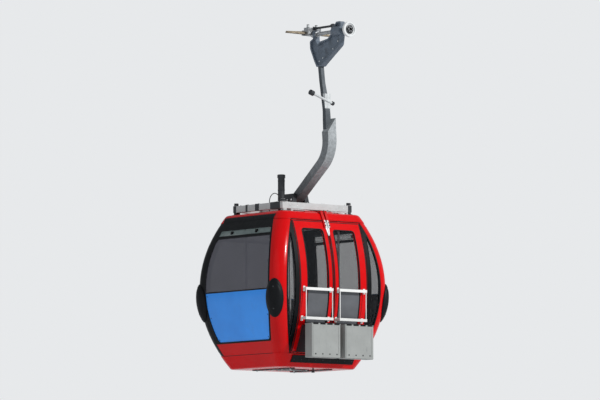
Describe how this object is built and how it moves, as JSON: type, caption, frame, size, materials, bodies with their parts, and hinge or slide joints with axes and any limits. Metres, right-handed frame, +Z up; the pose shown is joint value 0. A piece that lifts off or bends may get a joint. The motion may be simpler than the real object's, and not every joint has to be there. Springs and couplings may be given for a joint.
{
  "type": "gondola cable car cabin with hanger and rope grip",
  "caption": "Barrel-shaped gondola cabin with two swinging doors, ski boxes, roof frame, curved hanger, running wheel and rope clamp.",
  "frame": {"origin": "centre of the rope clamp, on the rope's axis", "axes": "+X along the rope, +Z up, -Y to the outer side with the doors and the running wheel"},
  "size_m": [2.1636, 2.301, 4.94],
  "materials": {
    "red_shell": "gloss paint",
    "black_frame": "moulded black trim",
    "blue_panel": "gloss blue sheet",
    "tinted_glass": "grey tinted acrylic",
    "vent_grey": "louvred strip",
    "grip_steel": "zinc plated steel",
    "dark_steel": "dark paint",
    "light_steel": "galvanised",
    "guide_tan": "worn polymer",
    "wheel_white": "white polyamide",
    "fork_casting": "blue-grey painted casting",
    "hanger_grey": "galvanised and painted",
    "neck_grey": "dark grey paint",
    "frame_alloy": "satin",
    "floor_alloy": "ribbed plate",
    "black_rubber": "moulded rubber",
    "bench_grey": "moulded bench",
    "box_grey": "light grey sheet",
    "rack_white": "white paint"
  },
  "bodies": {
    "grip": {"grip_body": "grip_steel", "grip_jaw": "grip_steel", "grip_lever": "dark_steel", "rope_guides": "guide_tan"},
    "running_wheel": {"running_wheel": "wheel_white"},
    "door_arm_left": {"door_arm_left": "light_steel"},
    "door_link_left": {"door_link_left": "light_steel"},
    "door_leaf_left": {"door_leaf_left": "red_shell", "door_bracket_left": "light_steel", "door_glass_left": "tinted_glass", "ski_box_left": "box_grey", "rack_bars_left": "rack_white"},
    "door_arm_right": {"door_arm_right": "light_steel"},
    "door_link_right": {"door_link_right": "light_steel"},
    "door_leaf_right": {"door_leaf_right": "red_shell", "door_bracket_right": "light_steel", "door_glass_right": "tinted_glass", "ski_box_right": "box_grey", "rack_bars_right": "rack_white"},
    "cabin": {"hanger_fork": "fork_casting", "hanger_arm": "hanger_grey", "hanger_neck": "neck_grey", "hanger_foot": "dark_steel", "hanger_crossbar": "light_steel", "roof_frame": "frame_alloy", "roof_mast": "dark_steel", "roof_cap": "red_shell", "floor_pan": "red_shell", "floor_plate": "floor_alloy", "corner_bumpers": "black_rubber", "door_strip": "black_rubber", "door_release": "dark_steel", "door_posts": "light_steel", "grab_poles": "light_steel", "pillar_front_left": "red_shell", "pillar_front_right": "red_shell", "pillar_back_left": "black_frame", "pillar_back_right": "black_frame", "end_skirt_left": "red_shell", "end_frame_left": "black_frame", "end_dado_left": "blue_panel", "end_glass_left": "tinted_glass", "end_vent_left": "vent_grey", "end_skirt_right": "red_shell", "end_frame_right": "black_frame", "end_dado_right": "blue_panel", "end_glass_right": "tinted_glass", "end_vent_right": "vent_grey", "back_skirt": "red_shell", "back_frame": "black_frame", "back_dado": "blue_panel", "back_glass": "tinted_glass", "back_vent": "vent_grey", "side_frame_left": "black_frame", "side_glass_left": "tinted_glass", "bench_left": "bench_grey", "side_frame_right": "black_frame", "side_glass_right": "tinted_glass", "bench_right": "bench_grey"}
  },
  "joints": [
    {"name": "hanger_swing", "type": "hinge", "parent": "grip", "child": "cabin", "pos_m": [0, -0.4, 0], "axis": [0, 1, 0], "range_deg": [-35, 35]},
    {"name": "wheel_spin", "type": "hinge", "parent": "grip", "child": "running_wheel", "pos_m": [0, -0.866, 0], "axis": [0, 1, 0], "continuous": true},
    {"name": "door_left_arm", "type": "hinge", "parent": "cabin", "child": "door_arm_left", "pos_m": [-0.5, -0.19, -2.525], "axis": [0, 0, -1], "range_deg": [0, 156]},
    {"name": "door_left_link", "type": "hinge", "parent": "cabin", "child": "door_link_left", "pos_m": [-0.33832, -0.13747, -2.525], "axis": [0, 0, -1], "range_deg": [0, 156]},
    {"name": "door_left_leaf", "type": "hinge", "parent": "door_arm_left", "child": "door_leaf_left", "pos_m": [-0.23148, -0.16178, -2.525], "axis": [0, 0, 1], "range_deg": [0, 156]},
    {"name": "door_right_arm", "type": "hinge", "parent": "cabin", "child": "door_arm_right", "pos_m": [0.5, -0.19, -2.525], "axis": [0, 0, 1], "range_deg": [0, 156]},
    {"name": "door_right_link", "type": "hinge", "parent": "cabin", "child": "door_link_right", "pos_m": [0.33832, -0.13747, -2.525], "axis": [0, 0, 1], "range_deg": [0, 156]},
    {"name": "door_right_leaf", "type": "hinge", "parent": "door_arm_right", "child": "door_leaf_right", "pos_m": [0.23148, -0.16178, -2.525], "axis": [0, 0, -1], "range_deg": [0, 156]}
  ],
  "couplings": [
    {"joint": "door_left_link", "follows": "door_left_arm", "ratio": 1},
    {"joint": "door_left_leaf", "follows": "door_left_arm", "ratio": 1},
    {"joint": "door_right_arm", "follows": "door_left_arm", "ratio": 1},
    {"joint": "door_right_link", "follows": "door_left_arm", "ratio": 1},
    {"joint": "door_right_leaf", "follows": "door_left_arm", "ratio": 1}
  ]
}
